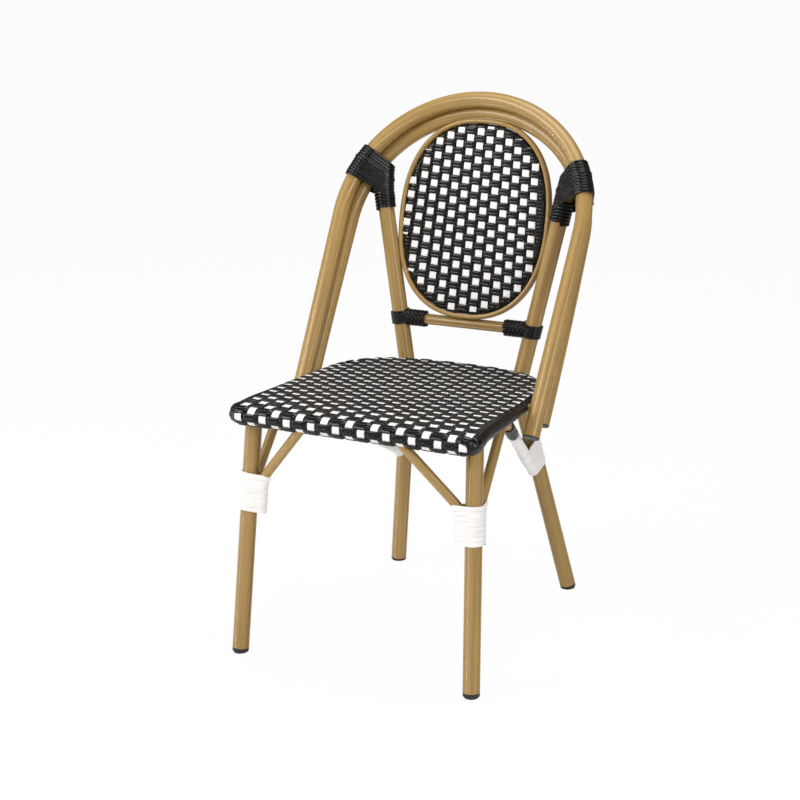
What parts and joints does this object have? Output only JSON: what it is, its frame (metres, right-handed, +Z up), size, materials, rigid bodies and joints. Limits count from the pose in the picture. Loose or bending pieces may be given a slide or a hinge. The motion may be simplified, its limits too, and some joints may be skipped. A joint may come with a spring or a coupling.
{
  "type": "bistro chair",
  "caption": "Stacking bistro armchair: nested bent-tube hoops as back and arms, flat woven seat, oval woven back panel, strap-bound joints and braced, splayed legs.",
  "frame": {"origin": "on the floor, at the middle of the bounding box", "axes": "+Z up, -Y towards the front of the chair, +X to the right seen from the front"},
  "size_m": [0.4782, 0.5627, 0.8899],
  "materials": {
    "bamboo_print": "powder coated tube, printed with a bamboo grain, satin",
    "black_strand": "extruded strap, semi-matte with fine lengthwise ribs",
    "white_strand": "extruded strap, semi-matte",
    "woven_strands": "plain weave of white and black straps",
    "black_plastic": "moulded, matte"
  },
  "bodies": {
    "root": {"outer_hoop": "bamboo_print", "inner_hoop": "bamboo_print", "left_rear_leg": "bamboo_print", "right_rear_leg": "bamboo_print", "left_front_leg": "bamboo_print", "right_front_leg": "bamboo_print", "left_front_brace": "bamboo_print", "right_front_brace": "bamboo_print", "left_side_brace": "bamboo_print", "right_side_brace": "bamboo_print", "left_rear_brace": "bamboo_print", "right_rear_brace": "bamboo_print", "left_hoop_stub": "bamboo_print", "right_hoop_stub": "bamboo_print", "left_upright_stub": "bamboo_print", "right_upright_stub": "bamboo_print", "seat_frame": "bamboo_print", "seat_front_bar": "bamboo_print", "seat_back_bar": "bamboo_print", "back_ring": "bamboo_print", "back_rail": "bamboo_print", "left_rail_wrap": "black_strand", "right_rail_wrap": "black_strand", "left_hoop_wrap": "black_strand", "right_hoop_wrap": "black_strand", "left_upright_wrap": "black_strand", "right_upright_wrap": "black_strand", "left_seat_brace_wrap": "black_strand", "right_seat_brace_wrap": "black_strand", "left_front_leg_wrap": "white_strand", "right_front_leg_wrap": "white_strand", "left_rear_leg_wrap": "white_strand", "right_rear_leg_wrap": "white_strand", "left_rear_brace_wrap": "white_strand", "right_rear_brace_wrap": "white_strand", "seat_weave": "woven_strands", "back_weave": "woven_strands", "left_front_cap": "black_plastic", "right_front_cap": "black_plastic", "left_rear_cap": "black_plastic", "right_rear_cap": "black_plastic", "left_outer_plug": "black_plastic", "right_outer_plug": "black_plastic", "left_inner_plug": "black_plastic", "right_inner_plug": "black_plastic"}
  },
  "joints": []
}
